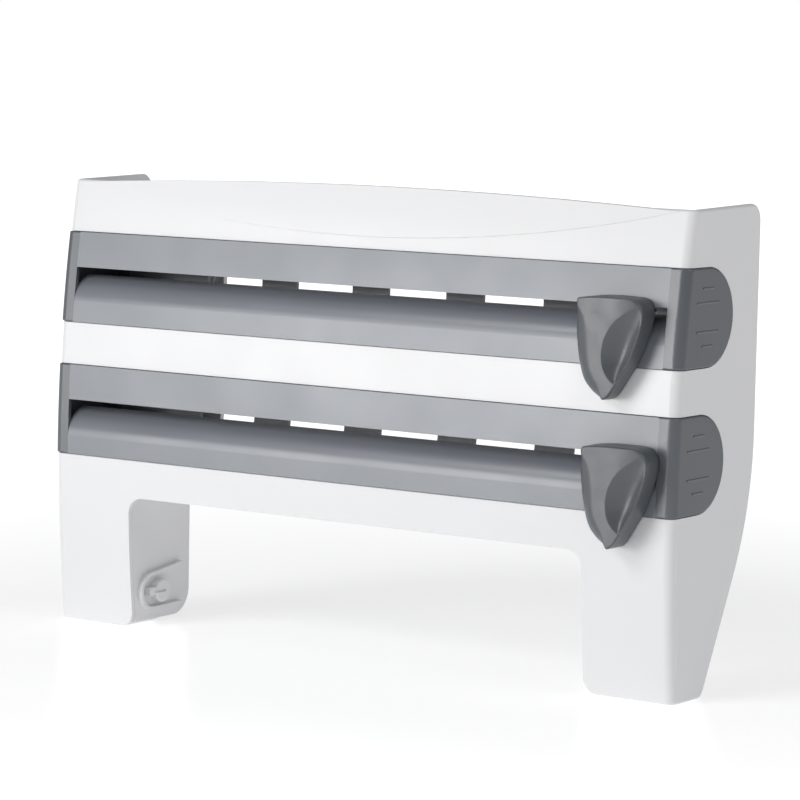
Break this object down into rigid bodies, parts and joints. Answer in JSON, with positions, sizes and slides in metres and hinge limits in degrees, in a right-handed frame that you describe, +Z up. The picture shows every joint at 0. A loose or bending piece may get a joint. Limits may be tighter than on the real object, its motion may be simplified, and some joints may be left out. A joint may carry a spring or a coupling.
{
  "type": "cling film dispenser",
  "caption": "Wall-mounted dispenser with pull-out drawers for film or foil rolls, sliding cutters, a top shelf and a bay for a towel roll.",
  "frame": {"origin": "centre of the four wall-screw holes, on the back face", "axes": "+X across the width to the side where the cutters park, +Y into the wall, +Z up"},
  "size_m": [0.3926, 0.0941, 0.2458],
  "materials": {
    "white_plastic": "smooth moulded white, semi-gloss",
    "grey_plastic": "smooth moulded blue-grey, semi-gloss",
    "knob_plastic": "smooth moulded dark grey",
    "shoe_plastic": "low-friction moulded plastic",
    "rail_aluminium": "drawn, satin",
    "blade_steel": "ground edge",
    "screw_steel": "zinc plated"
  },
  "bodies": {
    "housing": {"housing_shell": "white_plastic", "shelf_tray": "white_plastic", "back_frame": "white_plastic", "frame_screws": "screw_steel", "leg_panel_left": "white_plastic", "leg_panel_right": "white_plastic", "roll_peg_left": "white_plastic", "roll_peg_right": "white_plastic", "upper_deck": "white_plastic", "lower_deck": "white_plastic"},
    "upper_drawer": {"upper_trough": "grey_plastic", "upper_cover_bar": "grey_plastic", "upper_end_cap_left": "grey_plastic", "upper_end_cap_right": "grey_plastic", "upper_cutter_rail": "rail_aluminium", "upper_rail_screws": "screw_steel"},
    "upper_cutter": {"upper_cutter_knob": "knob_plastic", "upper_cutter_shoe": "shoe_plastic", "upper_cutter_blade": "blade_steel"},
    "lower_drawer": {"lower_trough": "grey_plastic", "lower_cover_bar": "grey_plastic", "lower_end_cap_left": "grey_plastic", "lower_end_cap_right": "grey_plastic", "lower_cutter_rail": "rail_aluminium", "lower_rail_screws": "screw_steel"},
    "lower_cutter": {"lower_cutter_knob": "knob_plastic", "lower_cutter_shoe": "shoe_plastic", "lower_cutter_blade": "blade_steel"}
  },
  "joints": [
    {"name": "upper_drawer_slide", "type": "slide", "parent": "housing", "child": "upper_drawer", "axis": [0, -1, 0], "range_m": [0, 0.048]},
    {"name": "lower_drawer_slide", "type": "slide", "parent": "housing", "child": "lower_drawer", "axis": [0, -1, 0], "range_m": [0, 0.048]},
    {"name": "upper_cutter_slide", "type": "slide", "parent": "upper_drawer", "child": "upper_cutter", "axis": [1, 0, 0], "range_m": [-0.332, 0.01]},
    {"name": "lower_cutter_slide", "type": "slide", "parent": "lower_drawer", "child": "lower_cutter", "axis": [1, 0, 0], "range_m": [-0.3395, 0.0024]}
  ]
}
